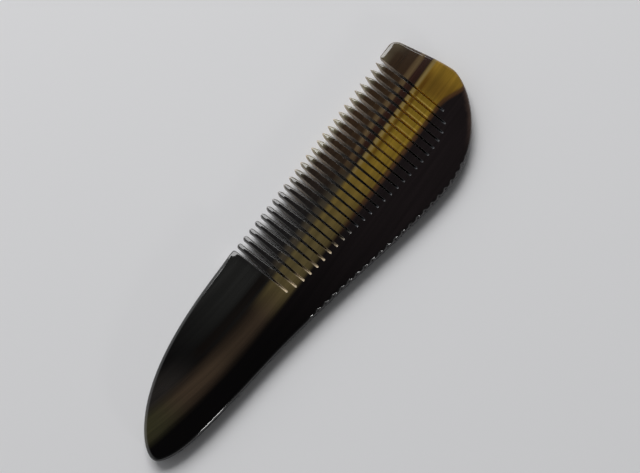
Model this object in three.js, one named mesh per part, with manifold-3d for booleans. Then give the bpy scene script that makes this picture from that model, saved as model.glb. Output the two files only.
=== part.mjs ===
// A polished horn comb with a broad, curved blade of a handle.
//
// The comb is one plate of horn. It is built here as its named regions, cut from one blank:
// the handle, the spine that joins the teeth, the guard at the front end, and 26 teeth.
// Neighbouring regions meet on plain flat faces, with nothing between them.
//
// Drawing frame, in millimetres: X runs along the line of the tooth tips, from the handle
// (negative) to the front end, and is 0 at the first slot. Y is 0 on that line and negative
// towards the back edge. Z is up, and is 0 on the face that the comb lies on.

import * as THREE from 'three';
import { mergeVertices } from 'three/addons/utils/BufferGeometryUtils.js';
import Module from 'manifold-3d';

// ---- Driving dimensions ----

const PLATE_THICKNESS = 5;
const EDGE_WIDTH = 2.2; // how far the rounded edge reaches in from the outline
const EDGE_HEIGHT = 2; // how much of each face's height the rounded edge takes
const EDGE_STEPS = 3;

const TOOTH_COUNT = 26;
const PITCH = 3.3; // from one tooth to the next
const SLOT_MOUTH = 1.2; // slot width between the tooth tips
const SLOT_ROOT = 0.6; // slot width at its closed end
const FIRST_LEAN = 5.1; // degrees that the first slot leans, its closed end nearer the handle
const LAST_LEAN = 7.1; // and the last one
const TIP_THICKNESS = 1.8;
// The tips are half round beside the handle and grow longer and more pointed towards the
// front: the last tooth's reaches this far down, and is this pointed (1 is an ellipse)
const FRONT_TIP_LENGTH = 3.6;
const FRONT_TIP_POWER = 1.65;
const TAPER_START = -17; // the toothed part thins from this Y to the tips
const ROOT_MARGIN = 0.8; // a tooth's region ends this far short of its shallower slot's end

// The plate's outline, counter-clockwise, as knots of a smooth curve. Each knot has its
// place, its heading in degrees, and how strongly the curve keeps that heading before
// and after it. The last stretch, along the tooth tips, is straight.
const OUTLINE = [
  { x: -11, y: 0, heading: 180, before: 0, after: 22 },
  { x: -65.3, y: -12, heading: 217, before: 16, after: 2.5 },
  { x: -71.4, y: -20.4, heading: 270, before: 3.2, after: 1.8 },
  { x: -67.3, y: -24.65, heading: 331, before: 3, after: 9 },
  { x: -21.3, y: -32.8, heading: 352.2, before: 16, after: 32 },
  { x: 63.6, y: -47.5, heading: 360, before: 17, after: 20.5 },
  { x: 97.9, y: -23.9, heading: 450, before: 6.4, after: 7 },
  { x: 95.75, y: -3.4, heading: 457, before: 6, after: 1.9 },
  { x: 92.2, y: 0, heading: 540, before: 1.9, after: 0 },
];

// The curve on which the slots end, in the same form, from the handle to the front end.
const ROOT_LINE = [
  { x: -2.4, y: -20.2, heading: 310, before: 0, after: 3 },
  { x: 15.3, y: -25.9, heading: 350.5, before: 9, after: 18 },
  { x: 68.6, y: -34.3, heading: 360, before: 18, after: 6 },
  { x: 82.6, y: -28.2, heading: 422, before: 5, after: 0 },
];

const CURVE_STEPS = 10; // straight facets in each stretch of the outline
const ROOT_LINE_STEPS = 400; // fine enough to find where a slot meets it
const ROUND_STEPS = 6; // facets in a slot's end and in each side of a tooth's tip

// Well outside the plate, for the tools that cut it
const FAR = 120;
const CLEAR = 2;

// The drawing frame's place in the part's frame, whose origin is the middle of the base
const ORIGIN_X = -(OUTLINE[6].x + OUTLINE[2].x) / 2;
const ORIGIN_Y = -OUTLINE[5].y / 2;

// ---- Solids ----

const wasm = await Module();
wasm.setup();

function solidFrom(geometry) {
  const bare = geometry.clone();
  bare.deleteAttribute('normal');
  bare.deleteAttribute('uv');
  const merged = mergeVertices(bare);
  const mesh = new wasm.Mesh({
    numProp: 3,
    vertProperties: new Float32Array(merged.attributes.position.array),
    triVerts: new Uint32Array(merged.index.array),
  });
  return new wasm.Manifold(mesh);
}

function geometryFrom(solid) {
  const mesh = solid.getMesh();
  const indexed = new THREE.BufferGeometry();
  indexed.setAttribute('position', new THREE.BufferAttribute(mesh.vertProperties, 3));
  indexed.setIndex(new THREE.BufferAttribute(mesh.triVerts, 1));
  const geometry = indexed.toNonIndexed();
  geometry.computeVertexNormals();
  return geometry;
}

// A prism on the given plan, running well past both faces of the plate
function prism(shape) {
  const depth = PLATE_THICKNESS + 2 * CLEAR;
  const geometry = new THREE.ExtrudeGeometry(shape, {
    depth,
    bevelEnabled: false,
    curveSegments: ROUND_STEPS,
  });
  geometry.translate(0, 0, -CLEAR);
  return geometry;
}

function polygon(...points) {
  return new THREE.Shape(points.map(([x, y]) => new THREE.Vector2(x, y)));
}

// ---- Curves ----

function ahead(knot, distance) {
  const angle = THREE.MathUtils.degToRad(knot.heading);
  return new THREE.Vector2(
    knot.x + distance * Math.cos(angle),
    knot.y + distance * Math.sin(angle),
  );
}

// Points on the smooth curve through a list of knots
function pointsThrough(knots, steps) {
  const points = [ahead(knots[0], 0)];
  for (let i = 1; i < knots.length; i += 1) {
    const stretch = new THREE.CubicBezierCurve(
      ahead(knots[i - 1], 0),
      ahead(knots[i - 1], knots[i - 1].after),
      ahead(knots[i], -knots[i].before),
      ahead(knots[i], 0),
    );
    points.push(...stretch.getPoints(steps).slice(1));
  }
  return points;
}

// X of a slot's centre line at height y; slot 0 is beside the handle
function slotLean(slot) {
  const degrees = THREE.MathUtils.lerp(FIRST_LEAN, LAST_LEAN, (slot / TOOTH_COUNT) ** 2);
  return Math.tan(THREE.MathUtils.degToRad(degrees));
}

function slotX(slot, y) {
  return slot * PITCH + slotLean(slot) * y;
}

const rootPoints = pointsThrough(ROOT_LINE, ROOT_LINE_STEPS);

// Y at which a slot meets the root line
function slotEnd(slot) {
  const offset = (point) => point.x - slotX(slot, point.y);
  let nearest = rootPoints[0];
  for (const point of rootPoints) {
    if (Math.abs(offset(point)) < Math.abs(offset(nearest))) {
      nearest = point;
    }
  }
  return nearest.y;
}

// ---- The comb as one plate ----

function makeBlank() {
  const outline = new THREE.Shape(pointsThrough(OUTLINE, CURVE_STEPS));
  const geometry = new THREE.ExtrudeGeometry(outline, {
    depth: PLATE_THICKNESS - 2 * EDGE_HEIGHT,
    bevelThickness: EDGE_HEIGHT,
    bevelSize: EDGE_WIDTH,
    bevelOffset: -EDGE_WIDTH,
    bevelSegments: EDGE_STEPS,
  });
  geometry.translate(0, 0, EDGE_HEIGHT);
  return solidFrom(geometry);
}

// One of the two wedges that thin the toothed part; side is 1 for the top, -1 for the base
function makeTaperCutter(side) {
  const middle = PLATE_THICKNESS / 2;
  const slope = (TIP_THICKNESS / 2 - middle) / -TAPER_START;
  const tipHeight = middle + side * (TIP_THICKNESS / 2 + slope * CLEAR);
  const startHeight = middle + side * middle;
  const outside = middle + side * (middle + CLEAR);
  const profile = polygon(
    [TAPER_START, startHeight],
    [CLEAR, tipHeight],
    [CLEAR, outside],
    [TAPER_START, outside],
  );
  const geometry = new THREE.ExtrudeGeometry(profile, { depth: FAR + CLEAR, bevelEnabled: false });
  const alongX = new THREE.Matrix4().makeBasis(
    new THREE.Vector3(0, 1, 0),
    new THREE.Vector3(0, 0, 1),
    new THREE.Vector3(1, 0, 0),
  );
  geometry.applyMatrix4(alongX);
  geometry.translate(-CLEAR, 0, 0);
  return solidFrom(geometry).subtract(handleRegion());
}

// Half the rounded tip of a tooth, from its highest point down to its side: distances across
// from the tooth's middle and down from the tip line. Tooth 0 is the handle's corner and the
// one past the last tooth is the guard's; those are half round.
function tipCurve(tooth) {
  const halfWidth = (PITCH - SLOT_MOUTH) / 2;
  const onTooth = tooth >= 1 && tooth <= TOOTH_COUNT;
  const forward = onTooth ? (tooth - 1) / (TOOTH_COUNT - 1) : 0;
  const length = THREE.MathUtils.lerp(halfWidth, FRONT_TIP_LENGTH, forward);
  const power = THREE.MathUtils.lerp(1, FRONT_TIP_POWER, forward);
  const curve = [];
  for (let k = 0; k <= ROUND_STEPS; k += 1) {
    const angle = (Math.PI / 2) * (k / ROUND_STEPS);
    const across = halfWidth * Math.sin(angle) ** power;
    const rise = k < ROUND_STEPS ? Math.cos(angle) ** power : 0;
    curve.push({ across, down: length * (1 - rise) });
  }
  return curve;
}

// The plan of a slot: a round closed end, straight sides, and a flare at the mouth that
// shapes the tips of the two teeth beside it
function slotShape(slot) {
  const mouth = SLOT_MOUTH / 2;
  const half = PITCH / 2;
  const root = SLOT_ROOT / 2;
  const endY = slotEnd(slot) + root;
  const shape = new THREE.Shape();
  shape.moveTo(-root, endY);
  shape.absarc(0, endY, root, Math.PI, 2 * Math.PI, false);
  for (const point of tipCurve(slot + 1).reverse()) {
    shape.lineTo(half - point.across, -point.down);
  }
  shape.lineTo(half, CLEAR);
  shape.lineTo(-half, CLEAR);
  for (const point of tipCurve(slot)) {
    shape.lineTo(point.across - half, -point.down);
  }
  return shape;
}

function makeSlot(slot) {
  const geometry = prism(slotShape(slot));
  geometry.applyMatrix4(new THREE.Matrix4().makeShear(0, 0, slotLean(slot), 0, 0, 0));
  geometry.translate(slot * PITCH, 0, 0);
  return solidFrom(geometry);
}

function makeComb() {
  let comb = makeBlank();
  comb = comb.subtract(makeTaperCutter(1));
  comb = comb.subtract(makeTaperCutter(-1));
  for (let slot = 0; slot <= TOOTH_COUNT; slot += 1) {
    comb = comb.subtract(makeSlot(slot));
  }
  return comb;
}

// ---- The regions it is divided into ----

// Everything on the handle's side of the first slot's centre line
function handleRegion() {
  return solidFrom(prism(polygon(
    [-FAR, CLEAR],
    [-FAR, -FAR],
    [slotX(0, -FAR), -FAR],
    [slotX(0, CLEAR), CLEAR],
  )));
}

// Everything past the last slot's centre line
function guardRegion() {
  return solidFrom(prism(polygon(
    [slotX(TOOTH_COUNT, -FAR), -FAR],
    [FAR, -FAR],
    [FAR, CLEAR],
    [slotX(TOOTH_COUNT, CLEAR), CLEAR],
  )));
}

// Between two slots, from just above the shallower one's end to the tips
function toothRegion(tooth) {
  const root = Math.max(slotEnd(tooth - 1), slotEnd(tooth)) + ROOT_MARGIN;
  return solidFrom(prism(polygon(
    [slotX(tooth - 1, root), root],
    [slotX(tooth, root), root],
    [slotX(tooth, CLEAR), CLEAR],
    [slotX(tooth - 1, CLEAR), CLEAR],
  )));
}

// ---- Materials ----

const darkHorn = new THREE.MeshStandardMaterial({ color: 0x1d1814, roughness: 0.22, metalness: 0 });
const blackHorn = new THREE.MeshStandardMaterial({ color: 0x131011, roughness: 0.2, metalness: 0 });
const amberHorn = new THREE.MeshStandardMaterial({ color: 0x8a6a1c, roughness: 0.22, metalness: 0 });
const toothHorn = new THREE.MeshStandardMaterial({ color: 0x6b5423, roughness: 0.22, metalness: 0 });

// ---- Assembly ----

function makeMesh(name, solid, material) {
  const mesh = new THREE.Mesh(geometryFrom(solid), material);
  mesh.name = name;
  return mesh;
}

function makeParts() {
  const parts = new THREE.Group();
  parts.position.set(ORIGIN_X, ORIGIN_Y, 0);
  const comb = makeComb();
  let spine = comb.subtract(handleRegion()).subtract(guardRegion());
  parts.add(makeMesh('handle', comb.intersect(handleRegion()), darkHorn));
  parts.add(makeMesh('front_guard', comb.intersect(guardRegion()), amberHorn));
  for (let tooth = 1; tooth <= TOOTH_COUNT; tooth += 1) {
    const region = toothRegion(tooth);
    const name = `tooth_${String(tooth).padStart(2, '0')}`;
    parts.add(makeMesh(name, comb.intersect(region), toothHorn));
    spine = spine.subtract(region);
  }
  parts.add(makeMesh('spine', spine, blackHorn));
  return parts;
}

const hornComb = new THREE.Group();
hornComb.name = 'horn_comb';
hornComb.add(makeParts());

export default hornComb;
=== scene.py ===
import math

import bmesh
import bpy
import numpy as np
from mathutils import Matrix, Vector
from mathutils.geometry import delaunay_2d_cdt


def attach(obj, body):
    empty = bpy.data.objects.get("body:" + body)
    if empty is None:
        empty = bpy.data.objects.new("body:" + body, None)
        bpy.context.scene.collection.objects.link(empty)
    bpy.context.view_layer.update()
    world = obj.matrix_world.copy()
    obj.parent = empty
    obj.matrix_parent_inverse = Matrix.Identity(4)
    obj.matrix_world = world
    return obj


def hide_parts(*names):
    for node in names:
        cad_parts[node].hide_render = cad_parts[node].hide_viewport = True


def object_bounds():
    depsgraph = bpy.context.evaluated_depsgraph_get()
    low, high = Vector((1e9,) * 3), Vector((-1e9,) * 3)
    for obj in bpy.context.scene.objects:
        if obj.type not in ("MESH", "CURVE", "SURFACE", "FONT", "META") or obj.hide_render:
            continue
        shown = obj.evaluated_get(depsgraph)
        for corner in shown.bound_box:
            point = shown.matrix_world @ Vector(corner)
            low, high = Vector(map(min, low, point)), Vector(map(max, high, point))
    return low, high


# A polished horn comb with a broad, curved handle, lying flat on a pale floor.
#
# The comb is drawn in millimetres, in the drawing frame of its CAD model: X runs along the
# line of the tooth tips, away from the handle, and is 0 at the first slot; Y is 0 on that
# line and negative towards the back edge; Z is 0 in the middle of the plate's thickness.
# The whole surface is worked out once, as one closed skin, and is then divided into the
# named pieces, so that neighbouring pieces meet with no visible seam.

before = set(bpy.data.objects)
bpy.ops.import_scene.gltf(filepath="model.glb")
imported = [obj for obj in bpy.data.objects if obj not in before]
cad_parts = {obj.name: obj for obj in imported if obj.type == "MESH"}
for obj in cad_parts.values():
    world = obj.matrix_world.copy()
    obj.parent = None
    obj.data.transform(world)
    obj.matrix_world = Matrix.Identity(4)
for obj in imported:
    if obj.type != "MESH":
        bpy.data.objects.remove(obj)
cad_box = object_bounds()

MM = 0.001

# ---- Driving dimensions, as in the CAD model ----

PLATE_THICKNESS = 5.0
TOOTH_COUNT = 26
PITCH = 3.3
SLOT_MOUTH = 1.2
SLOT_ROOT = 0.6
FIRST_LEAN = 5.1
LAST_LEAN = 7.1
TIP_THICKNESS = 1.8
FRONT_TIP_LENGTH = 3.6
FRONT_TIP_POWER = 1.65
ROOT_MARGIN = 0.8  # a tooth begins this far above the closed end of the shorter slot beside it
BACK_BELOW = -25.0  # the outline below this line is the comb's back
FRONT_FROM = 80.0  # and beyond this one its front end

# Knots of a smooth curve: x, y, heading in degrees, and how strongly the curve keeps that
# heading before and after the knot
OUTLINE = [
    (-11, 0, 180, 0, 22),
    (-65.3, -12, 217, 16, 2.5),
    (-71.4, -20.4, 270, 3.2, 1.8),
    (-67.3, -24.65, 331, 3, 9),
    (-21.3, -32.8, 352.2, 16, 32),
    (63.6, -47.5, 360, 17, 20.5),
    (97.9, -23.9, 450, 6.4, 7),
    (95.75, -3.4, 457, 6, 1.9),
    (92.2, 0, 540, 1.9, 0),
]
ROOT_LINE = [
    (-2.4, -20.2, 310, 0, 3),
    (15.3, -25.9, 350.5, 9, 18),
    (68.6, -34.3, 360, 18, 6),
    (82.6, -28.2, 422, 5, 0),
]

# ---- The polished surface ----

EDGE_WIDTH = 1.5  # how far the rounding of the outer edge reaches in
EDGE_SHARE = 0.80  # how much of the plate's half thickness it takes
TIP_EDGE = 0.92  # radius of the edges along the slots, at the tips of the teeth
CORNER_EDGE = 0.6  # at the handle's corner
GUARD_EDGE = 0.35  # at the front guard's
ROOT_EDGE = 0.15  # and at the closed end
EDGE_WEAR = 7.0  # the wider rounding at the tips reaches this far down
WEAR_SLOTS = (3, 12)  # from the second of these slots on; up to the first it reaches the closed end
LARGEST_EDGE = 0.8  # the edges along the slots take at most this share of the half thickness
GUARD_SHARE = 0.15  # share of the outer edge's rounding left at the guard's tip
GUARD_GROWTH = 10.0  # over this height it grows to the full rounding
CORNER_SHARE = 0.12  # the same at the handle's corner by the first slot
CORNER_RUN = 7.0  # over this length it grows to the full rounding
EDGE_STEPS = 6
WALL_ROWS = (0.75, 0.45, 0.1, -0.4)  # heights of the rows between the two rounded edges
CROWN = 0.2  # share of the half thickness lost between the middle and the edge
CROWN_WIDTH = 12.0
HANDLE_LINE_END = (25.0, -41.0)  # the handle's crown follows the edge to this point of the back
LINE_STRIDE = 3  # every third point of an edge is enough to measure distances to it
TAPER_START = -18.5  # where the toothed part begins to thin towards the tips
TAPER_BLEND = 3.0
TIP_RUN = 4.2  # the tips of the teeth are domed over this length
TIP_DOME = 0.8  # and lose this share of their thickness at the very end
FRONT_DOME = 0.2  # or, on the pointed ones at the front, this share
GUARD_RUN = 1.6  # the guard's tip is domed over this length
GUARD_DOME = 0.42  # and loses this share
POINTED_FROM = 40.0  # between these places along the comb the one kind of tip turns into the other
POINTED_TO = 70.0
DOMED_FROM = 86.6  # the guard's dome lies between these places
DOMED_TO = 94.4
DOME_FADES = (1.6, 2.4)  # and grows and fades over these lengths at its two ends
WORN_REACH = 3.5  # the handle's corner by the first slot is worn down this far from its tip
WORN_SHARE = 0.34  # by this share of the half thickness

# The round saw runs out at the closed end of each slot, further on the top face than on
# the base: the length of that ramp beside the handle, in the middle and at the front
RAMP_LENGTHS = (6.0, 1.7, 3.0)
RAMP_POWER = 3.0  # how much flatter the ramp is near the top face than near the base
RAMP_REACH = 6.0  # how far up the slot's sides the slant is felt
SAWN_SHARE = 1.5  # they are left rough as the saw cut them, with a partly painted pale glint, over this share of half the ramp
RIM_REACH = 3.0  # the outer edge carries a painted rim light over this distance

# Shallow scoops filed along the rounded back edge
SCOOP_PITCH = 3.6
SCOOP_DEPTH = 0.28
SCOOP_FROM = -6.5
SCOOP_TO = 74.0
SCOOP_FADE = 3.0
SCOOP_BELOW = -30.0

OUTLINE_STEP = 0.6
WALL_STEP = 1.5
TIP_STEP = 0.5  # finer steps near the tip line
TIP_REACH = 4.5  # this close to it
TIP_STEPS = 6
ROUND_END_STEPS = 8
GRID_STEP = 2.0
GRID_CLEARANCE = 1.1


# ---- Curves and the plan ----

def smooth(value, low, high):
    """0 below low, 1 above high, smooth between."""
    t = min(max((value - low) / (high - low), 0), 1)
    return t * t * (3 - 2 * t)


def points_through(knots, step):
    """Points about one step apart along the smooth curve through the knots."""
    points = [np.array(knots[0][:2], float)]
    for (x0, y0, turn0, _, after), (x1, y1, turn1, before, _) in zip(knots, knots[1:]):
        a0, a1 = math.radians(turn0), math.radians(turn1)
        p0, p3 = np.array((x0, y0), float), np.array((x1, y1), float)
        p1 = p0 + after * np.array((math.cos(a0), math.sin(a0)))
        p2 = p3 - before * np.array((math.cos(a1), math.sin(a1)))
        rough = np.linalg.norm(p1 - p0) + np.linalg.norm(p2 - p1) + np.linalg.norm(p3 - p2)
        count = max(4, round(rough / step))
        for t in np.arange(1, count + 1) / count:
            s = 1 - t
            points.append(s**3 * p0 + 3 * s * s * t * p1 + 3 * s * t * t * p2 + t**3 * p3)
    return np.array(points)


def slot_lean(slot):
    """How far a slot moves in X for each unit of Y."""
    share = slot / TOOTH_COUNT
    return math.tan(math.radians(FIRST_LEAN + (LAST_LEAN - FIRST_LEAN) * share**2))


def slot_x(slot, y):
    return slot * PITCH + slot_lean(slot) * y


ROOT_POINTS = points_through(ROOT_LINE, 0.05)


def slot_end(slot):
    offset = np.abs(ROOT_POINTS[:, 0] - slot_x(slot, ROOT_POINTS[:, 1]))
    return float(ROOT_POINTS[offset.argmin(), 1])


def tooth_root(tooth):
    return max(slot_end(tooth - 1), slot_end(tooth)) + ROOT_MARGIN


def tip_curve(tooth):
    """Half a tooth's rounded tip, from its highest point to its side.

    Each entry is a distance across from the tooth's middle, one down from the tip line, and
    the way inwards for the rounding of its edge, as shares across and down. The handle's
    and the guard's corners, beside the first and the last tooth, are half round.
    """
    half_width = (PITCH - SLOT_MOUTH) / 2
    forward = (tooth - 1) / (TOOTH_COUNT - 1) if 1 <= tooth <= TOOTH_COUNT else 0
    length = half_width + (FRONT_TIP_LENGTH - half_width) * forward
    power = 1 + (FRONT_TIP_POWER - 1) * forward
    curve = []
    for k in range(TIP_STEPS + 1):
        angle = math.pi / 2 * k / TIP_STEPS
        wide = math.sin(angle) ** power
        high = math.cos(angle) ** power if k < TIP_STEPS else 0
        curve.append((half_width * wide, length * (1 - high), wide, high * length / half_width))
    return curve


def ramp_length(slot):
    """A smooth curve through the three stated lengths."""
    t = slot / TOOTH_COUNT
    first, middle, last = RAMP_LENGTHS
    return (1 - t) * (1 - 2 * t) * first + 4 * t * (1 - t) * middle + t * (2 * t - 1) * last


class Boundary:
    """The comb's edge as one closed loop, anticlockwise, with what each point needs to know."""

    def __init__(self):
        self.points = []
        self.outer = []  # 1 where the edge has its full rounding, 0 along the slots
        self.radius = []  # of the rounding, where it is a slot's
        self.inset = []  # the way inwards, where it isn't square to the edge
        self.slide = []  # half of how far the point moves in Y between the base and the top face
        self.sawn = []  # 1 at a slot's closed end, 0 away from it
        self.owners = []  # the piece that the stretch after the point belongs to
        self.marks = {}  # places where the dividing lines start and end

    def add(self, x, y, outer, owner, radius=CORNER_EDGE, inset=None, slide=0.0, sawn=0.0, mark=None):
        if mark:
            self.marks[mark] = len(self.points)
        self.points.append((x, y))
        self.outer.append(outer)
        self.radius.append(radius)
        self.inset.append(inset)
        self.slide.append(slide)
        self.sawn.append(sawn)
        self.owners.append(owner)


def wall_heights(tip, end, root):
    """Heights of the points along a slot's side, from below the tip down, root's among them."""
    heights = list(np.arange(-tip - TIP_STEP, -TIP_REACH, -TIP_STEP))
    heights += list(np.arange(-TIP_REACH - WALL_STEP / 2, end + WALL_STEP / 2, -WALL_STEP))
    if root is None:
        return heights
    heights = [y for y in heights if abs(y - root) > WALL_STEP / 2]
    return sorted(heights + [root], reverse=True)


def add_slot(loop, slot):
    """Down a slot's side nearer the front end, round its closed end and up the other side."""
    mouth, root = SLOT_MOUTH / 2, SLOT_ROOT / 2
    end = slot_end(slot)
    centre = end + root
    right = f"tooth_{slot + 1:02d}" if slot < TOOTH_COUNT else "front_guard"
    left = f"tooth_{slot:02d}" if slot else "handle"
    half_ramp = ramp_length(slot) / 2
    worn_down_to = end + (-EDGE_WEAR - end) * smooth(slot, *WEAR_SLOTS)

    def add(across, y, owner, mark=None, inset=None):
        slide = half_ramp * (1 - smooth(y, end, end + RAMP_REACH))
        sawn = 1 - smooth(y, end, end + SAWN_SHARE * half_ramp)
        mouth_edge = TIP_EDGE
        if slot == 0 and across < 0:
            mouth_edge = CORNER_EDGE
        if slot == TOOTH_COUNT and across > 0:
            mouth_edge = GUARD_EDGE
        edge = ROOT_EDGE + (mouth_edge - ROOT_EDGE) * smooth(y, worn_down_to, 0)
        loop.add(across + slot_x(slot, y), y, 0.0, owner, edge, inset, slide, sawn, mark)

    def half_width(y, tip):
        share = (y - centre) / (-tip - centre)
        return root + (mouth - root) * share

    def add_tip(side, step, owner):
        across, down, wide, high = step
        inset = (side * wide - slot_lean(slot) * high, -high)
        add(side * (PITCH / 2 - across), -down, owner, inset=inset)

    curve = tip_curve(slot + 1)
    tip = curve[-1][1]
    for step in curve:
        add_tip(1, step, right)
    split = tooth_root(slot + 1) if slot < TOOTH_COUNT else None
    below = "spine" if slot < TOOTH_COUNT else "front_guard"
    for y in wall_heights(tip, centre, split):
        is_root = split is not None and y <= split
        mark = (slot + 1, "left") if y == split else None
        add(half_width(y, tip), y, below if is_root else right, mark)
    for k in range(ROUND_END_STEPS + 1):
        angle = -math.pi * k / ROUND_END_STEPS
        before_middle = k < ROUND_END_STEPS // 2
        owner = "spine"
        if slot == TOOTH_COUNT and before_middle:
            owner = "front_guard"
        if slot == 0 and not before_middle:
            owner = "handle"
        mark = ("slot end", slot) if k == ROUND_END_STEPS // 2 else None
        add(root * math.cos(angle), centre + root * math.sin(angle), owner, mark)
    curve = tip_curve(slot)
    tip = curve[-1][1]
    split = tooth_root(slot) if slot else None
    below = "spine" if slot else "handle"
    for y in reversed(wall_heights(tip, centre, split)):
        is_root = split is not None and y < split
        mark = (slot, "right") if y == split else None
        add(-half_width(y, tip), y, below if is_root else left, mark)
    for step in curve[:0:-1]:
        add_tip(-1, step, left)


def back_split(outline, slot):
    """The place in the outline where a slot's line, carried on, comes out at the back."""
    off_line = np.abs(outline[:, 0] - slot_x(slot, outline[:, 1]))
    off_line[outline[:, 1] > BACK_BELOW] = np.inf
    return int(off_line.argmin())


def make_boundary():
    loop = Boundary()
    corner = -(SLOT_MOUTH / 2 + (PITCH - SLOT_MOUTH) / 2)
    guard_corner = TOOTH_COUNT * PITCH - corner
    outline = points_through(OUTLINE, OUTLINE_STEP)
    handle_split, guard_split = back_split(outline, 0), back_split(outline, TOOTH_COUNT)
    for x in np.arange(corner - OUTLINE_STEP, OUTLINE[0][0], -OUTLINE_STEP):
        outer = CORNER_SHARE + (1 - CORNER_SHARE) * smooth(corner - x, 0, CORNER_RUN)
        loop.add(x, 0.0, outer, "handle")
    for i, (x, y) in enumerate(outline):
        owner = "handle" if i < handle_split else "spine" if i < guard_split else "front_guard"
        mark = {handle_split: "handle split", guard_split: "guard split"}.get(i)
        outer = 1.0
        if x > FRONT_FROM:
            outer = GUARD_SHARE + (1 - GUARD_SHARE) * smooth(-y, 0, GUARD_GROWTH)
        loop.add(x, y, outer, owner, mark=mark)
    start = OUTLINE[-1][0]
    for x in np.arange(start - OUTLINE_STEP, guard_corner + OUTLINE_STEP / 2, -OUTLINE_STEP):
        outer = GUARD_SHARE * smooth(x, guard_corner, start)
        loop.add(x, 0.0, outer, "front_guard", GUARD_EDGE)
    for slot in range(TOOTH_COUNT, -1, -1):
        add_slot(loop, slot)
    return loop, outline


# ---- The plate's thickness ----

def distance_to(points, line):
    """Shortest distance from each point to a line of points."""
    starts, ends = line[:-1], line[1:]
    spans = ends - starts
    lengths = (spans**2).sum(1)
    best = np.full(len(points), np.inf)
    for start, span, length in zip(starts, spans, lengths):
        along = np.clip(((points - start) @ span) / length, 0, 1)
        near = start + along[:, None] * span
        best = np.minimum(best, np.linalg.norm(points - near, axis=1))
    return best


def taper(y):
    """Share of the thickness that is left where the toothed part thins towards the tips."""
    above = y - TAPER_START
    blend = np.maximum(above, 0) ** 2 / (2 * TAPER_BLEND)
    run = np.where(above < TAPER_BLEND, blend, above - TAPER_BLEND / 2)
    full = -TAPER_START - TAPER_BLEND / 2
    return 1 - (1 - TIP_THICKNESS / PLATE_THICKNESS) * run / full


def tip_dome(x, y, on_guard):
    """Share of the thickness that is left on the domed tips of the teeth and the guard."""
    near_tip = np.clip(y / np.where(on_guard, GUARD_RUN, TIP_RUN) + 1, 0, 1)
    forward = np.clip((x - POINTED_FROM) / (POINTED_TO - POINTED_FROM), 0, 1)
    tooth_loss = TIP_DOME + (FRONT_DOME - TIP_DOME) * forward
    off_corners = np.minimum((x - DOMED_FROM) / DOME_FADES[0], (DOMED_TO - x) / DOME_FADES[1])
    guard_loss = GUARD_DOME * np.clip(off_corners, 0, 1)
    return 1 - np.where(on_guard, guard_loss, tooth_loss) * near_tip**2


class Thickness:
    """Half the plate's thickness anywhere in the plan."""

    def __init__(self, outline):
        self.corner = np.array([-SLOT_MOUTH, 0.0])
        whole = np.vstack([self.corner, outline])[::LINE_STRIDE]
        self.handle_line = np.vstack([whole[whole[:, 0] < HANDLE_LINE_END[0]], HANDLE_LINE_END])
        back = outline[int(outline[:, 0].argmin()):]
        self.back_line = back[::LINE_STRIDE]

    def at(self, points):
        points = np.asarray(points, float)
        x, y = points[:, 0], points[:, 1]
        on_handle = x < slot_x(0, y)
        on_guard = x > slot_x(TOOTH_COUNT, y)
        edge = np.where(on_handle, distance_to(points, self.handle_line), distance_to(points, self.back_line))
        rise = 1 - np.minimum(edge, CROWN_WIDTH) / CROWN_WIDTH
        crowned = PLATE_THICKNESS / 2 * (1 - CROWN * rise**2)
        off_corner = np.linalg.norm(points - self.corner, axis=1)
        worn = 1 - WORN_SHARE * np.clip(1 - off_corner / WORN_REACH, 0, 1) ** 2
        return crowned * np.where(on_handle, worn, taper(y) * tip_dome(x, y, on_guard))

    def normals(self, points, side):
        """Unit normals of the top face (side 1) or the base (side -1), none leaning too far."""
        step = 0.05
        dx, dy = np.array((step, 0.0)), np.array((0.0, step))
        slope_x = (self.at(points + dx) - self.at(points - dx)) / (2 * step)
        slope_y = (self.at(points + dy) - self.at(points - dy)) / (2 * step)
        steepest = 0.25
        normals = np.column_stack([
            np.clip(-slope_x, -steepest, steepest),
            np.clip(-slope_y, -steepest, steepest),
            np.full(len(points), side, float),
        ])
        return normals / np.linalg.norm(normals, axis=1)[:, None]


# ---- The skin ----

def inward_normals(points):
    """Unit normals of a closed anticlockwise loop, towards its inside."""
    ahead = np.roll(points, -1, axis=0) - points
    ahead /= np.linalg.norm(ahead, axis=1)[:, None]
    behind = np.roll(ahead, 1, axis=0)
    along = ahead + behind
    along /= np.linalg.norm(along, axis=1)[:, None]
    return np.column_stack([-along[:, 1], along[:, 0]])


def scoop(loop, points):
    """Depth of the filed scoops at each point of the boundary, 0 where there are none."""
    run = np.concatenate([[0], np.cumsum(np.linalg.norm(np.diff(points, axis=0), axis=1))])
    x, y = points[:, 0], points[:, 1]
    inside = np.clip((x - SCOOP_FROM) / SCOOP_FADE, 0, 1) * np.clip((SCOOP_TO - x) / SCOOP_FADE, 0, 1)
    wave = 0.5 - 0.5 * np.cos(2 * np.pi * run / SCOOP_PITCH)
    on_back = (y < SCOOP_BELOW) & (np.array(loop.outer) == 1)
    return SCOOP_DEPTH * wave**2 * inside * on_back


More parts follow.
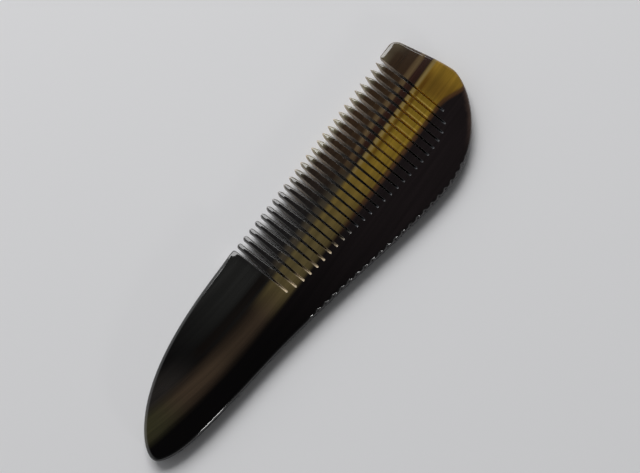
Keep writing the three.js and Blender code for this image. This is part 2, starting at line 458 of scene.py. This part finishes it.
def rim(loop, thickness):
    """The rounded edge: rows of points from the top face over the edge to the base.

    With the rows come two numbers for each of their points: how far it belongs to a slot's
    side, and how far that side is rough from the saw.
    """
    points = np.array(loop.points)
    inward = inward_normals(points)
    for i, inset in enumerate(loop.inset):
        if inset:
            inward[i] = inset
    outer = np.array(loop.outer)
    slide = np.array(loop.slide)
    lean = np.array([slot_lean(min(max(x / PITCH, 0), TOOTH_COUNT)) for x in points[:, 0]])
    radius = np.array(loop.radius)
    width = radius + (EDGE_WIDTH - radius) * outer
    scoops = scoop(loop, points)
    quarter = np.linspace(math.pi / 2, 0, EDGE_STEPS + 1)
    levels = [(angle, 1.0) for angle in quarter]
    levels += [(0.0, share) for share in WALL_ROWS]
    levels += [(angle, -1.0) for angle in quarter[::-1]]
    rows, sides, sawn = [], [], []
    for angle, share in levels:
        plan = points + inward * (width * (1 - math.cos(angle)))[:, None]
        half = thickness.at(plan)
        depth = np.minimum(radius, LARGEST_EDGE * half) * (1 - outer) + EDGE_SHARE * half * outer
        height = half - depth * (1 - math.sin(angle))
        if share == 1:  # only the upper rounding is filed
            bite = scoops * math.sin(2 * angle) ** 2
            plan = plan + inward * bite[:, None]
            height = height - bite
        height = height * share
        run_out = 2 * ((height / (PLATE_THICKNESS / 2) + 1) / 2) ** RAMP_POWER - 1
        shift = -slide * run_out
        plan = plan + np.column_stack([lean * shift, shift])
        rows.append(np.column_stack([plan, height]))
        sides.append((1 - outer) * math.cos(angle) ** 4)
        sawn.append(np.array(loop.sawn) * math.sqrt(max(math.cos(angle), 0)))
    return np.array(rows), np.array(sides), np.array(sawn)


def rim_normals(rows, thickness):
    """Unit normals of the rim's points; the first and last rows take those of the faces."""
    along = np.roll(rows, -1, axis=1) - np.roll(rows, 1, axis=1)
    down = np.gradient(rows, axis=0)
    normals = np.cross(down, along)
    normals /= np.maximum(np.linalg.norm(normals, axis=2), 1e-9)[:, :, None]
    normals[0] = thickness.normals(rows[0][:, :2], 1)
    normals[-1] = thickness.normals(rows[-1][:, :2], -1)
    return normals


def inside_loop(points, ring):
    """Which points are inside a closed ring."""
    result = np.zeros(len(points), bool)
    x, y = points[:, 0], points[:, 1]
    for (x0, y0), (x1, y1) in zip(ring, np.roll(ring, -1, axis=0)):
        if y0 == y1:
            continue
        crosses = (y0 > y) != (y1 > y)
        result ^= crosses & (x < (x1 - x0) * (y - y0) / (y1 - y0) + x0)
    return result


def face_points(ring):
    """A grid of points for the broad parts of a face, clear of its edges."""
    low, high = ring.min(0), ring.max(0)
    xs = np.arange(low[0] + GRID_STEP / 2, high[0], GRID_STEP)
    ys = np.arange(low[1] + GRID_STEP / 2, high[1], GRID_STEP)
    grid = np.array([(x + (k % 2) * GRID_STEP / 2, y) for k, y in enumerate(ys) for x in xs])
    near_tips = np.arange(-TIP_REACH, 0, TIP_STEP)
    corners = [(x, y) for y in near_tips for x in np.arange(low[0], high[0], TIP_STEP)]
    grid = grid[inside_loop(grid, ring) & (grid[:, 1] < -TIP_REACH - GRID_STEP / 2)]
    corners = np.array(corners)
    corners = corners[inside_loop(corners, ring)]
    closed = np.vstack([ring, ring[:1]])
    return np.vstack([
        grid[distance_to(grid, closed) > GRID_CLEARANCE],
        corners[distance_to(corners, closed) > TIP_STEP / 2],
    ])


def split_line(start, end):
    """Points between the two ends of a dividing line across the plate."""
    count = max(2, round(float(np.linalg.norm(end - start)) / GRID_STEP))
    return [start + (end - start) * k / count for k in range(1, count)]


def fill_face(loop, ring):
    """Triangles of one face inside its ring: (extra points, triangles, owner of each)."""
    count = len(ring)
    edges = [(i, (i + 1) % count) for i in range(count)]
    dividers = set()
    extra = list(face_points(ring))
    for tooth in range(1, TOOTH_COUNT + 1):
        ends = loop.marks[(tooth, "left")], loop.marks[(tooth, "right")]
        edges.append(ends)
        dividers.add(frozenset(ends))
    for first, last in ((("slot end", 0), "handle split"), (("slot end", TOOTH_COUNT), "guard split")):
        start, end = loop.marks[first], loop.marks[last]
        between = split_line(ring[start], ring[end])
        near = distance_to(np.array(extra), np.array([ring[start], ring[end]])) if extra else []
        keep = [k for k, distance in enumerate(near) if distance > GRID_CLEARANCE / 2]
        renumber = {count + old: count + new for new, old in enumerate(keep)}
        extra = [extra[k] for k in keep]
        edges = [tuple(renumber.get(i, i) for i in e) for e in edges]
        dividers = {frozenset(renumber.get(i, i) for i in d) for d in dividers}
        chain = [start] + [count + len(extra) + k for k in range(len(between))] + [end]
        extra += between
        for pair in zip(chain, chain[1:]):
            edges.append(pair)
            dividers.add(frozenset(pair))
    flat = [Vector((float(x), float(y))) for x, y in list(ring) + extra]
    result = delaunay_2d_cdt(flat, edges, [], 1, 1e-7)
    source = [ids[0] for ids in result[3]]
    triangles = [tuple(source[i] for i in face) for face in result[2]]
    return np.array(extra), triangles, owners_of(loop, count, triangles, dividers)


def owners_of(loop, count, triangles, dividers):
    """The piece that each triangle belongs to, spread from the rim up to the dividing lines."""
    sides = {}
    for k, triangle in enumerate(triangles):
        for a, b in zip(triangle, triangle[1:] + triangle[:1]):
            sides.setdefault(frozenset((a, b)), []).append(k)
    owners = [None] * len(triangles)
    waiting = []
    for i in range(count):
        for k in sides.get(frozenset((i, (i + 1) % count)), []):
            if owners[k] is None:
                owners[k] = loop.owners[i]
                waiting.append(k)
    while waiting:
        k = waiting.pop()
        triangle = triangles[k]
        for a, b in zip(triangle, triangle[1:] + triangle[:1]):
            side = frozenset((a, b))
            if side in dividers:
                continue
            for other in sides[side]:
                if owners[other] is None:
                    owners[other] = owners[k]
                    waiting.append(other)
    return owners


def make_skin():
    """The comb's whole surface: points, their normals and looks, faces, each face's piece."""
    loop, outline = make_boundary()
    thickness = Thickness(outline)
    rows, sides, sawn = rim(loop, thickness)
    normals = rim_normals(rows, thickness)
    levels, count = rows.shape[:2]
    points = [rows.reshape(-1, 3)]
    all_normals = [normals.reshape(-1, 3)]
    faces, owners = [], []
    for level in range(levels - 1):
        for i in range(count):
            j = (i + 1) % count
            a, b = level * count, (level + 1) * count
            faces.append((a + i, b + i, b + j, a + j))
            owners.append(loop.owners[i])
    used = levels * count
    for side, level in ((1, 0), (-1, levels - 1)):
        ring = rows[level][:, :2]
        extra, triangles, triangle_owners = fill_face(loop, ring)
        half = thickness.at(extra)
        points.append(np.column_stack([extra, side * half]))
        all_normals.append(thickness.normals(extra, side))
        for triangle, owner in zip(triangles, triangle_owners):
            ids = [level * count + i if i < count else used + i - count for i in triangle]
            faces.append(tuple(ids if side == 1 else ids[::-1]))
            owners.append(owner)
        used += len(extra)
    points = np.vstack(points)
    off_rim = np.zeros(used - levels * count)
    rim_share = 1 - np.minimum(distance_to(points[:, :2], outline), RIM_REACH) / RIM_REACH
    looks = {
        "slot_side": np.concatenate([sides.ravel(), off_rim]),
        "sawn": np.concatenate([sawn.ravel(), off_rim]),
        "rim": rim_share,
    }
    return points, np.vstack(all_normals), looks, faces, owners


# ---- Pieces ----

def to_frame(points):
    """From the drawing frame in millimetres to the part's frame in metres."""
    low, high = np.array(cad_box[0]), np.array(cad_box[1])
    left = min(x for x, *_ in OUTLINE)
    bottom = min(y for _, y, *_ in OUTLINE)
    origin = np.array([low[0] / MM - left, low[1] / MM - bottom, (low[2] + high[2]) / 2 / MM])
    return (points + origin) * MM


def make_piece(name, skin_points, skin_normals, looks, faces):
    """One piece of the skin as a closed mesh that keeps the skin's normals."""
    used = sorted({i for face in faces for i in face})
    local = {old: new for new, old in enumerate(used)}
    mesh = bpy.data.meshes.new(name)
    mesh.from_pydata(
        [tuple(p) for p in to_frame(skin_points[used])],
        [],
        [tuple(local[i] for i in face) for face in faces],
    )
    skin_face_count = len(faces)
    close_ends(mesh)
    for look, values in looks.items():
        attribute = mesh.attributes.new(look, "FLOAT", "POINT")
        attribute.data.foreach_set("value", np.ascontiguousarray(values[used], np.float32))
    normals = []
    for polygon in mesh.polygons:
        polygon.use_smooth = True
        for vertex in polygon.vertices:
            if polygon.index < skin_face_count:
                normals.append(tuple(skin_normals[used[vertex]]))
            else:
                normals.append(tuple(polygon.normal))
    mesh.normals_split_custom_set(normals)
    piece = bpy.data.objects.new(name, mesh)
    bpy.context.scene.collection.objects.link(piece)
    return piece


def close_ends(mesh):
    """Adds the flat faces where a piece meets its neighbours."""
    shape = bmesh.new()
    shape.from_mesh(mesh)
    open_edges = [edge for edge in shape.edges if edge.is_boundary]
    bmesh.ops.holes_fill(shape, edges=open_edges, sides=0)
    shape.faces.ensure_lookup_table()
    shape.to_mesh(mesh)
    shape.free()
    mesh.update()


# ---- Camera ----

CAMERA_TARGET = (0.00754, 0.00299, 0.0)  # in metres, in the part's frame
CAMERA_DISTANCE = 0.3107
CAMERA_ELEVATION = 76.3  # in degrees
CAMERA_HEADING = 35.56  # direction in plan that is up in the picture, from +X
CAMERA_LENS = 50.625


def picture_axes():
    """The directions in plan that are right and up in the picture."""
    heading = math.radians(CAMERA_HEADING)
    right = Vector((math.sin(heading), -math.cos(heading), 0))
    away = Vector((math.cos(heading), math.sin(heading), 0))
    return right, away


def make_camera():
    right, away = picture_axes()
    tilt = math.radians(90 - CAMERA_ELEVATION)
    back = Vector((0, 0, 1)) * math.cos(tilt) - away * math.sin(tilt)
    up = away * math.cos(tilt) + Vector((0, 0, 1)) * math.sin(tilt)
    data = bpy.data.cameras.new("camera")
    data.lens = CAMERA_LENS
    data.sensor_width = 36
    data.clip_start = 0.01
    camera = bpy.data.objects.new("camera", data)
    camera.matrix_world = (
        Matrix.Translation(Vector(CAMERA_TARGET) + back * CAMERA_DISTANCE)
        @ Matrix((right, up, back)).transposed().to_4x4()
    )
    bpy.context.scene.collection.objects.link(camera)
    bpy.context.scene.camera = camera


# ---- Materials ----

class Field:
    """A number that varies over a surface, kept as a socket of a node tree."""

    def __init__(self, tree, socket):
        self.tree = tree
        self.socket = socket

    def math(self, operation, *others):
        node = self.tree.nodes.new("ShaderNodeMath")
        node.operation = operation
        for entry, value in zip(node.inputs, (self, *others)):
            if isinstance(value, Field):
                self.tree.links.new(value.socket, entry)
            else:
                entry.default_value = value
        return Field(self.tree, node.outputs[0])

    def __add__(self, other):
        return self.math("ADD", other)

    def __sub__(self, other):
        return self.math("SUBTRACT", other)

    def __mul__(self, other):
        return self.math("MULTIPLY", other)

    def step(self, low, high):
        """0 below low, 1 above high, smooth between."""
        node = self.tree.nodes.new("ShaderNodeMapRange")
        node.interpolation_type = "SMOOTHSTEP"
        self.tree.links.new(self.socket, node.inputs["Value"])
        node.inputs["From Min"].default_value = low
        node.inputs["From Max"].default_value = high
        return Field(self.tree, node.outputs["Result"])

    def fall(self, low, high):
        """1 below low, 0 above high, smooth between."""
        return self.step(low, high) * -1 + 1

    def band(self, low, high, soft):
        """1 between low and high, fading over soft on each side."""
        inside = self.step(low - soft, low + soft)
        return inside - self.step(high - soft, high + soft) * inside


def noise(tree, place, scale, stretch, detail=3.0, roughness=0.55):
    """Noise from 0 to 1, drawn out along X by stretch."""
    mapping = tree.nodes.new("ShaderNodeMapping")
    mapping.inputs["Scale"].default_value = (scale / stretch, scale, scale)
    tree.links.new(place, mapping.inputs["Vector"])
    node = tree.nodes.new("ShaderNodeTexNoise")
    node.inputs["Scale"].default_value = 1.0
    node.inputs["Detail"].default_value = detail
    node.inputs["Roughness"].default_value = roughness
    tree.links.new(mapping.outputs[0], node.inputs["Vector"])
    return Field(tree, node.outputs["Fac"])


def mixed(tree, below, colour, amount):
    """colour laid over below, where amount is 1."""
    node = tree.nodes.new("ShaderNodeMix")
    node.data_type = "RGBA"
    for entry, value in zip(node.inputs[6:8], (below, colour)):  # its colours, A and B
        if isinstance(value, tuple):
            entry.default_value = (*value, 1)
        else:
            tree.links.new(value, entry)
    tree.links.new(amount.socket, node.inputs[0])
    return node.outputs[2]


# Colours of the horn, and of the light and shade painted on it, as linear red, green and blue
HANDLE_BLACK = (0.0013, 0.0009, 0.0010)
BACK_BLACK = (0.0100, 0.0072, 0.0076)
HANDLE_BROWN = (0.0050, 0.0034, 0.0026)
HANDLE_GREY = (0.0150, 0.0150, 0.0140)
TOOTH_GREY = (0.0100, 0.0090, 0.0090)
TOOTH_BROWN = (0.0300, 0.0165, 0.0080)
STREAK_BROWN = (0.0480, 0.0320, 0.0200)
STREAK_OLIVE = (0.0360, 0.0330, 0.0160)
END_GREY = (0.0420, 0.0370, 0.0330)
HAZE = (0.0500, 0.0400, 0.0260)
OLIVE = (0.0880, 0.0670, 0.0270)
GOLD = (0.2000, 0.1250, 0.0140)
FRONT_GOLD = (0.1500, 0.0830, 0.0110)
EDGE_GOLD = (0.2300, 0.1350, 0.0160)
PALE_GOLD = (0.1850, 0.1330, 0.0480)
STRIPE = (0.0920, 0.0600, 0.0280)
PURPLE_BROWN = (0.0260, 0.0105, 0.0070)
LINE_BROWN = (0.0820, 0.0360, 0.0040)
BORDER_BROWN = (0.0700, 0.0320, 0.0130)
# painted pinkish rim light on the outer edge at the lower front
PAINTED_RIM_LIGHT = (0.0900, 0.0560, 0.0430)
# painted shade deep in the slots
PAINTED_SLOT_SHADE = (0.0120, 0.0080, 0.0050)
# painted light on the slots' walls towards the tips
PAINTED_SLOT_LIGHT = (0.5200, 0.4300, 0.3300)
# painted glow of light through the amber, on the slots' walls
PAINTED_AMBER_GLOW = (0.6200, 0.3700, 0.0300)
# painted highlight on the slots' walls by the handle
PAINTED_MOUTH_LIGHT = (0.4500, 0.4500, 0.4500)
# painted highlight on the tips of the teeth and the guard
PAINTED_TIP_HIGHLIGHT = (0.2000, 0.1800, 0.1100)
# saw-cut ends: rough horn, their paleness partly a painted glint of light on the ramps
PALE_SAWN_AND_GLINT = (0.5500, 0.4400, 0.2800)
GREY_SAWN_AND_SHEEN = (0.0300, 0.0340, 0.0400)
# painted glow and highlight along the front edges of the slots
PAINTED_EDGE_GLOW = (0.3800, 0.2600, 0.0600)

GRAIN_BEND = 0.0022  # the grain curves away along the handle: Y for each square unit of -X
STREAK_BEND = 0.0006  # the lower edge of the handle's streak curves this much less
EDGE_LEAN = 0.065  # the slots' lean at X = 0, as a straight line that fits the front ones
EDGE_LEAN_GROWTH = 0.0007  # and what it gains for each unit of X


def stored(tree, look):
    """A number that the mesh holds for each of its points."""
    node = tree.nodes.new("ShaderNodeAttribute")
    node.attribute_name = look
    return Field(tree, node.outputs["Fac"])


def edge_glow_mask(x, y):
    """1 in a thin line along the front edge of each slot, at the front of the comb, where a painted glow is
    laid.
    """
    lean = x * EDGE_LEAN_GROWTH + EDGE_LEAN
    slots = (x - lean * y) * (1 / PITCH)
    past_slot = slots.math("FRACT") * PITCH
    return past_slot.band(0.55, 0.95, 0.2) * (x.step(56, 76) - x.step(82.2, 83.2))


def horn_colour(tree, grain, x, y, behind, across):
    """Black horn with amber streaks that run along the plate.

    x and y are places in the plan, behind is X on the handle and 0 elsewhere, and across
    is Y measured across the grain. The noise moves the streaks a little to and fro.
    """
    wander = (noise(tree, grain, 160, 14) - 0.5) * 1.8
    fine = (noise(tree, grain, 900, 30) - 0.5) * 0.8
    v = across + wander + fine

    # The dark ground: the back, and above it the side of the tooth tips
    lower = mixed(tree, HANDLE_BLACK, BACK_BLACK, x.step(-25, 50))
    upper = mixed(tree, HANDLE_BLACK, HANDLE_GREY, x.step(-55, -5))
    upper = mixed(tree, upper, TOOTH_GREY, x.step(-4, 0))
    upper = mixed(tree, upper, TOOTH_BROWN, x.step(18, 62))
    colour = mixed(tree, lower, upper, v.step(-19, -13))

    # The olive and brown streaks along the handle
    streak = mixed(tree, STREAK_OLIVE, STREAK_BROWN, x.step(-62, -48))
    colour = mixed(tree, colour, HANDLE_BROWN, v.band(-15.8, -13.0, 0.8) * x.band(-37, -1, 3) * 0.85)
    near_end = x.fall(-52, -36)
    colour = mixed(tree, colour, END_GREY, v.band(-19.0, -11.0, 3.0) * near_end * 0.4)
    flatter = v + behind * behind * STREAK_BEND
    streak_zone = flatter.step(-26.4, -21.2) * v.fall(-21.4, -15.8)
    colour = mixed(tree, colour, streak, streak_zone * (x.band(-33, -14, 5) * -0.22 + 1))

    # The amber band through the teeth and the guard, with a haze above its beginning
    low_edge = x.step(0, 80) * -2.4 - x.step(82, 97) * 4.0 - 25.2
    above_low_edge = v - low_edge
    haze = v.band(-17.0, -14.2, 1.3) * x.band(2, 44, 6)
    colour = mixed(tree, colour, HAZE, haze)
    amber = mixed(tree, OLIVE, GOLD, x.step(12, 66))
    amber = mixed(tree, amber, FRONT_GOLD, x.step(81, 86))
    amber = mixed(tree, amber, EDGE_GOLD, x.step(88, 96))
    amber_zone = above_low_edge.step(-0.9, 1.1) * v.fall(-17.6, -15.9) * x.step(-16, 2)
    colour = mixed(tree, colour, amber, amber_zone)
    # painted glow along the front edge of each slot in the amber band
    colour = mixed(tree, colour, PAINTED_EDGE_GLOW, amber_zone * edge_glow_mask(x, y))

    # The thin lines in it, along its edges and above it
    colour = mixed(tree, colour, PALE_GOLD, v.band(-17.8, -16.55, 0.5) * x.step(38, 52) * 0.9)
    colour = mixed(tree, colour, LINE_BROWN, v.band(-19.5, -18.2, 0.5) * x.band(52, 91, 5) * 0.8)
    colour = mixed(tree, colour, BORDER_BROWN, above_low_edge.band(-1.0, 0.4, 0.6) * x.step(14, 45) * 0.8)
    colour = mixed(tree, colour, PURPLE_BROWN, v.band(-15.9, -13.5, 0.6) * x.step(42, 58))
    bend = x.fall(46, 72)
    stripe = v + bend * bend * 1.8
    colour = mixed(tree, colour, STRIPE, stripe.band(-13.3, -11.5, 0.6) * x.step(36, 58))

    # Painted highlights that pale the tips, and a painted pinkish rim light at the lower front
    colour = mixed(tree, colour, PAINTED_TIP_HIGHLIGHT, y.step(-5.2, -1.2) * x.band(36, 85, 12))
    colour = mixed(tree, colour, PAINTED_TIP_HIGHLIGHT, y.step(-9, -2) * x.step(90, 97) * 0.35)
    rim = stored(tree, "rim")
    lower_front = x.step(72, 88) * y.fall(-34, -28)
    # painted rim light along the lower front edge
    colour = mixed(tree, colour, PAINTED_RIM_LIGHT, rim.step(0.2, 0.95) * lower_front * 0.8)
    return colour, amber_zone


def horn_material(name):
    """Polished horn, left rough where the saw cut the slots."""
    material = bpy.data.materials.new(name)
    material.use_nodes = True
    tree = material.node_tree
    tree.nodes.clear()
    place = tree.nodes.new("ShaderNodeTexCoord").outputs["Object"]
    split = tree.nodes.new("ShaderNodeSeparateXYZ")
    tree.links.new(place, split.inputs[0])
    drawing_origin = to_frame(np.zeros((1, 3)))[0]
    x = (Field(tree, split.outputs["X"]) - float(drawing_origin[0])) * (1 / MM)
    y = (Field(tree, split.outputs["Y"]) - float(drawing_origin[1])) * (1 / MM)
    behind = x.math("MINIMUM", 0.0)
    across = y - behind * behind * GRAIN_BEND
    combine = tree.nodes.new("ShaderNodeCombineXYZ")
    for entry, value in zip(combine.inputs, (x * MM, across * MM)):
        tree.links.new(value.socket, entry)
    tree.links.new(split.outputs["Z"], combine.inputs["Z"])
    grain = combine.outputs[0]
    colour, amber_zone = horn_colour(tree, grain, x, y, behind, across)

    # The slots' walls: painted shade deep down, painted light towards the tips and by the handle,
    # a painted glow in the amber band, and at the closed end rough as the saw left them, with a partly
    # painted pale glint
    slot_side = stored(tree, "slot_side")
    sawn = stored(tree, "sawn")
    # painted shade on the slots' walls deep down
    colour = mixed(tree, colour, PAINTED_SLOT_SHADE, slot_side * y.fall(-13, -9))
    # painted light in the slots towards the tips, strongest in the middle of the comb
    slot_light_share = x.step(12, 40) * 0.75 - x.step(66, 80) * 0.25 + 0.15
    colour = mixed(tree, colour, PAINTED_SLOT_LIGHT, slot_side * y.step(-14, -5) * slot_light_share)
    near_handle = x.fall(20, 44)
    # painted highlight near the mouths of the slots by the handle
    colour = mixed(tree, colour, PAINTED_MOUTH_LIGHT, slot_side * y.step(-7.5, -3.0) * near_handle * 0.75)
    # painted glow of light through the amber on the slots' walls at the front
    colour = mixed(tree, colour, PAINTED_AMBER_GLOW, slot_side * amber_zone * x.step(44, 66) * 0.8)
    # saw-cut ends, with a partly painted glint: pale by the handle, bluish grey sheen at the front
    sawn_and_glint_colour = mixed(tree, PALE_SAWN_AND_GLINT, GREY_SAWN_AND_SHEEN, x.step(14, 30))
    colour = mixed(tree, colour, sawn_and_glint_colour, sawn * 0.85)

    # Fine fibres, lighter and darker, run through the whole
    fibres = noise(tree, grain, 1500, 40, detail=4)
    bands = noise(tree, grain, 420, 24)
    shade = (fibres - 0.5) * 0.7 + (bands - 0.5) * 0.9 + 1.0
    toned = tree.nodes.new("ShaderNodeHueSaturation")
    tree.links.new(colour, toned.inputs["Color"])
    tree.links.new(shade.socket, toned.inputs["Value"])

    shader = tree.nodes.new("ShaderNodeBsdfPrincipled")
    tree.links.new(toned.outputs[0], shader.inputs["Base Color"])
    below_tips = y.fall(-5, -2)
    polish = noise(tree, place, 220, 3) * 0.04 + 0.05
    roughness = polish + slot_side * below_tips * 0.24 + sawn * (x.step(44, 62) * 0.3 + 0.3)
    tree.links.new(roughness.socket, shader.inputs["Roughness"])
    shader.inputs["IOR"].default_value = 1.54
    bump = tree.nodes.new("ShaderNodeBump")
    bump.inputs["Strength"].default_value = 0.05
    bump.inputs["Distance"].default_value = 0.00004
    tree.links.new(noise(tree, grain, 500, 25).socket, bump.inputs["Height"])
    tree.links.new(bump.outputs[0], shader.inputs["Normal"])
    output = tree.nodes.new("ShaderNodeOutputMaterial")
    tree.links.new(shader.outputs[0], output.inputs["Surface"])
    return material


# ---- Floor and light ----

FLOOR_REACH = 6  # metres from the middle to each side


def make_floor():
    reach = FLOOR_REACH
    mesh = bpy.data.meshes.new("floor")
    corners = [(-reach, -reach, 0), (reach, -reach, 0), (reach, reach, 0), (-reach, reach, 0)]
    mesh.from_pydata(corners, [], [(0, 1, 2, 3)])
    floor = bpy.data.objects.new("floor", mesh)
    bpy.context.scene.collection.objects.link(floor)
    material = bpy.data.materials.new("floor")
    material.use_nodes = True
    shader = material.node_tree.nodes["Principled BSDF"]
    shader.inputs["Base Color"].default_value = (0.80, 0.80, 0.81, 1)
    shader.inputs["Roughness"].default_value = 0.9
    shader.inputs["Specular IOR Level"].default_value = 0.1
    mesh.materials.append(material)


def picture_direction(right, up, elevation):
    """A direction in space from its bearing in the picture and its height in degrees."""
    side, away = picture_axes()
    flat = (side * right + away * up).normalized()
    height = math.radians(elevation)
    return flat * math.cos(height) + Vector((0, 0, 1)) * math.sin(height)


def make_area_light(name, direction, distance, width, height, power):
    """A soft panel that faces the comb, its width level with the floor; metres and watts."""
    data = bpy.data.lights.new(name, "AREA")
    data.shape = "RECTANGLE"
    data.size = width
    data.size_y = height
    data.energy = power
    light = bpy.data.objects.new(name, data)
    light.location = direction * distance
    light.rotation_euler = direction.to_track_quat("Z", "Y").to_euler()
    bpy.context.scene.collection.objects.link(light)


def make_lights():
    """A broad window at the picture's top, a small lamp low at its lower right, a dim room.

    The room is darkest overhead, so that the black parts of the polished plate stay black,
    and its lit side is to the upper left.
    """
    window = picture_direction(right=-0.33, up=0.944, elevation=39)
    lamp = picture_direction(right=0.62, up=-0.78, elevation=11)
    make_area_light("window", window, distance=2.0, width=1.6, height=0.98, power=36)
    make_area_light("lamp", lamp, distance=1.0, width=0.10, height=0.06, power=1.0)
    world = bpy.data.worlds.new("studio")
    bpy.context.scene.world = world
    world.use_nodes = True
    tree = world.node_tree
    background = tree.nodes["Background"]
    place = tree.nodes.new("ShaderNodeTexCoord").outputs["Generated"]
    split = tree.nodes.new("ShaderNodeSeparateXYZ")
    tree.links.new(place, split.inputs[0])
    lit_side = picture_direction(right=-0.85, up=0.53, elevation=0)
    toward = Field(tree, split.outputs["X"]) * lit_side.x + Field(tree, split.outputs["Y"]) * lit_side.y
    walls = Field(tree, split.outputs["Z"]).fall(0.35, 0.92)
    glow = walls * (toward.step(-0.5, 0.9) * 0.95 + 0.05) + 0.03
    tree.links.new(glow.socket, background.inputs["Strength"])
    background.inputs["Color"].default_value = (0.97, 0.98, 1.0, 1)
    bpy.context.scene.view_settings.view_transform = "Standard"


# ---- Assembly ----

FINISHES = {"handle": "handle_horn", "spine": "spine_horn", "front_guard": "guard_horn"}
TOOTH_FINISH = "tooth_horn"


def make_comb():
    """Divides the skin into its pieces, each in the place of the CAD solid of its name."""
    points, normals, looks, faces, owners = make_skin()
    materials = {slot: horn_material(slot) for slot in (*FINISHES.values(), TOOTH_FINISH)}
    for node in sorted(set(owners)):
        own = [face for face, owner in zip(faces, owners) if owner == node]
        piece = make_piece(f"horn_{node}", points, normals, looks, own)
        slot = FINISHES.get(node, TOOTH_FINISH)
        piece.data.materials.append(materials[slot])
        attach(piece, "root")
        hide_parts(node)


make_camera()
make_floor()
make_lights()
make_comb()
